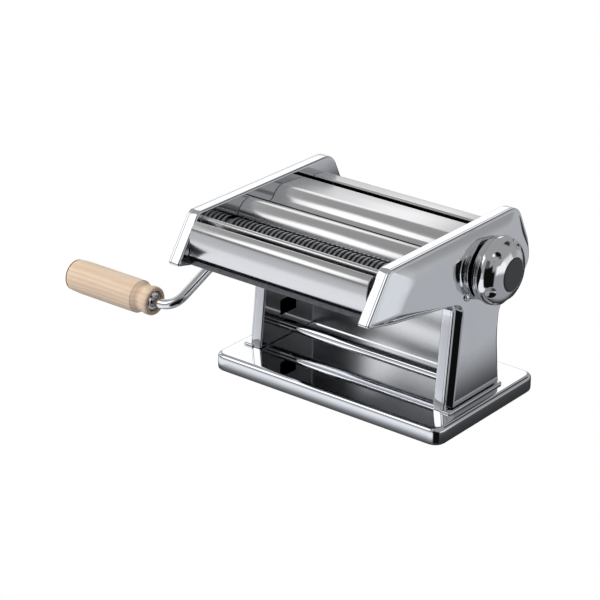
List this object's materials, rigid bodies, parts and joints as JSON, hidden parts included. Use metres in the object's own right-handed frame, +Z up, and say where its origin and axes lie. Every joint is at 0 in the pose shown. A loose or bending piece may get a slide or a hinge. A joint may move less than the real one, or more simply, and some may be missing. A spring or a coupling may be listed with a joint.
{
  "type": "manual pasta roller machine",
  "caption": "Hand-cranked pasta machine that rolls dough into sheets and cuts them into strips, on a stand with chromed sides and a thickness knob.",
  "frame": {"origin": "on the table, under the middle of the whole machine with its crank", "axes": "+X along the rollers towards the thickness knob, -Y towards the cutter wing and the person using it, +Z up"},
  "size_m": [0.3556, 0.191, 0.1445],
  "materials": {
    "chrome": "mirror-bright chrome plate",
    "satin_metal": "satin stainless sheet",
    "tool_steel": "smooth turned steel",
    "bronze": "sintered bronze",
    "beech": "turned beech, lightly varnished",
    "black_plastic": "fine matte",
    "nylon": "natural nylon",
    "rubber": "matte black rubber"
  },
  "bodies": {
    "stand": {"base_plate": "chrome", "rubber_foot_left_front": "rubber", "rubber_foot_left_rear": "rubber", "rubber_foot_right_front": "rubber", "rubber_foot_right_rear": "rubber", "inner_plate_left": "chrome", "inner_plate_right": "chrome", "outer_cover_left": "chrome", "outer_cover_right": "chrome", "cover_screw_left": "chrome", "cover_screw_right": "chrome", "base_screw_left": "tool_steel", "base_screw_right": "tool_steel", "tie_rod": "chrome", "tie_rod_nut_left": "tool_steel", "tie_rod_nut_right": "tool_steel", "front_cover": "satin_metal", "front_sill": "satin_metal", "cutter_front_guard": "satin_metal", "guard_between_cutters": "satin_metal", "guard_before_rollers": "satin_metal", "rear_cover": "satin_metal", "rear_panel": "satin_metal", "smooth_rear_bush_left": "nylon", "smooth_rear_bush_right": "nylon", "fine_rear_bush_left": "nylon", "fine_rear_bush_right": "nylon", "wide_front_bush_left": "nylon", "wide_front_bush_right": "nylon", "fine_comb_front": "tool_steel", "fine_comb_rear": "tool_steel", "wide_comb_front": "tool_steel", "wide_comb_rear": "tool_steel", "roller_scraper_front": "tool_steel", "roller_scraper_rear": "tool_steel", "index_pin": "tool_steel"},
    "drive_roller": {"smooth_roller_rear": "tool_steel", "roller_gear_rear": "tool_steel"},
    "crank": {"crank_arm": "chrome", "grip_collar": "tool_steel"},
    "grip": {"crank_grip": "beech"},
    "gap_carriage": {"bearing_slide_left": "bronze", "bearing_slide_right": "bronze", "gap_link_bar": "tool_steel"},
    "front_roller": {"smooth_roller_front": "tool_steel", "roller_gear_front": "tool_steel"},
    "adjuster": {"adjuster_spindle": "tool_steel", "knob_retainer": "tool_steel", "knob_spring": "tool_steel"},
    "knob": {"knob_body": "chrome", "knob_cap": "black_plastic"},
    "fine_rear": {"fine_cutter_rear": "tool_steel", "fine_gear_rear": "tool_steel"},
    "fine_front": {"fine_cutter_front": "tool_steel", "fine_gear_front": "tool_steel"},
    "wide_front": {"wide_cutter_front": "tool_steel", "wide_gear_front": "tool_steel"},
    "wide_rear": {"wide_cutter_rear": "tool_steel", "wide_gear_rear": "tool_steel"}
  },
  "joints": [
    {"name": "drive_spin", "type": "hinge", "parent": "stand", "child": "drive_roller", "pos_m": [0.06475, 0.06453, 0.1118], "axis": [1, 0, 0], "continuous": true},
    {"name": "crank_pull", "type": "slide", "parent": "drive_roller", "child": "crank", "axis": [-1, 0, 0], "range_m": [0, 0.025]},
    {"name": "grip_spin", "type": "hinge", "parent": "crank", "child": "grip", "pos_m": [0.06475, -0.03077, 0.039], "axis": [1, 0, 0], "continuous": true},
    {"name": "fine_spin", "type": "hinge", "parent": "stand", "child": "fine_rear", "pos_m": [0.06475, -0.03707, 0.119], "axis": [1, 0, 0], "continuous": true},
    {"name": "fine_front_spin", "type": "hinge", "parent": "stand", "child": "fine_front", "pos_m": [0.06475, -0.05647, 0.119], "axis": [1, 0, 0], "continuous": true},
    {"name": "wide_spin", "type": "hinge", "parent": "stand", "child": "wide_front", "pos_m": [0.06475, -0.00647, 0.119], "axis": [1, 0, 0], "continuous": true},
    {"name": "wide_rear_spin", "type": "hinge", "parent": "stand", "child": "wide_rear", "pos_m": [0.06475, 0.01293, 0.119], "axis": [1, 0, 0], "continuous": true},
    {"name": "roller_gap", "type": "slide", "parent": "stand", "child": "gap_carriage", "axis": [0, -1, 0], "range_m": [0, 0.0022]},
    {"name": "front_roller_spin", "type": "hinge", "parent": "gap_carriage", "child": "front_roller", "pos_m": [0.06475, 0.03823, 0.1118], "axis": [1, 0, 0], "continuous": true},
    {"name": "knob_turn", "type": "hinge", "parent": "stand", "child": "adjuster", "pos_m": [0.06475, 0.03823, 0.1118], "axis": [1, 0, 0], "range_deg": [0, 300]},
    {"name": "knob_pull", "type": "slide", "parent": "adjuster", "child": "knob", "axis": [1, 0, 0], "range_m": [0, 0.004], "stiffness_N_per_m": 400, "springref_m": -0.005, "deforming": ["knob_spring"]}
  ],
  "couplings": [
    {"joint": "front_roller_spin", "follows": "drive_spin", "ratio": -1},
    {"joint": "fine_front_spin", "follows": "fine_spin", "ratio": -1},
    {"joint": "wide_rear_spin", "follows": "wide_spin", "ratio": -1},
    {"joint": "knob_turn", "follows": "roller_gap", "rad_per_m": 2380}
  ]
}
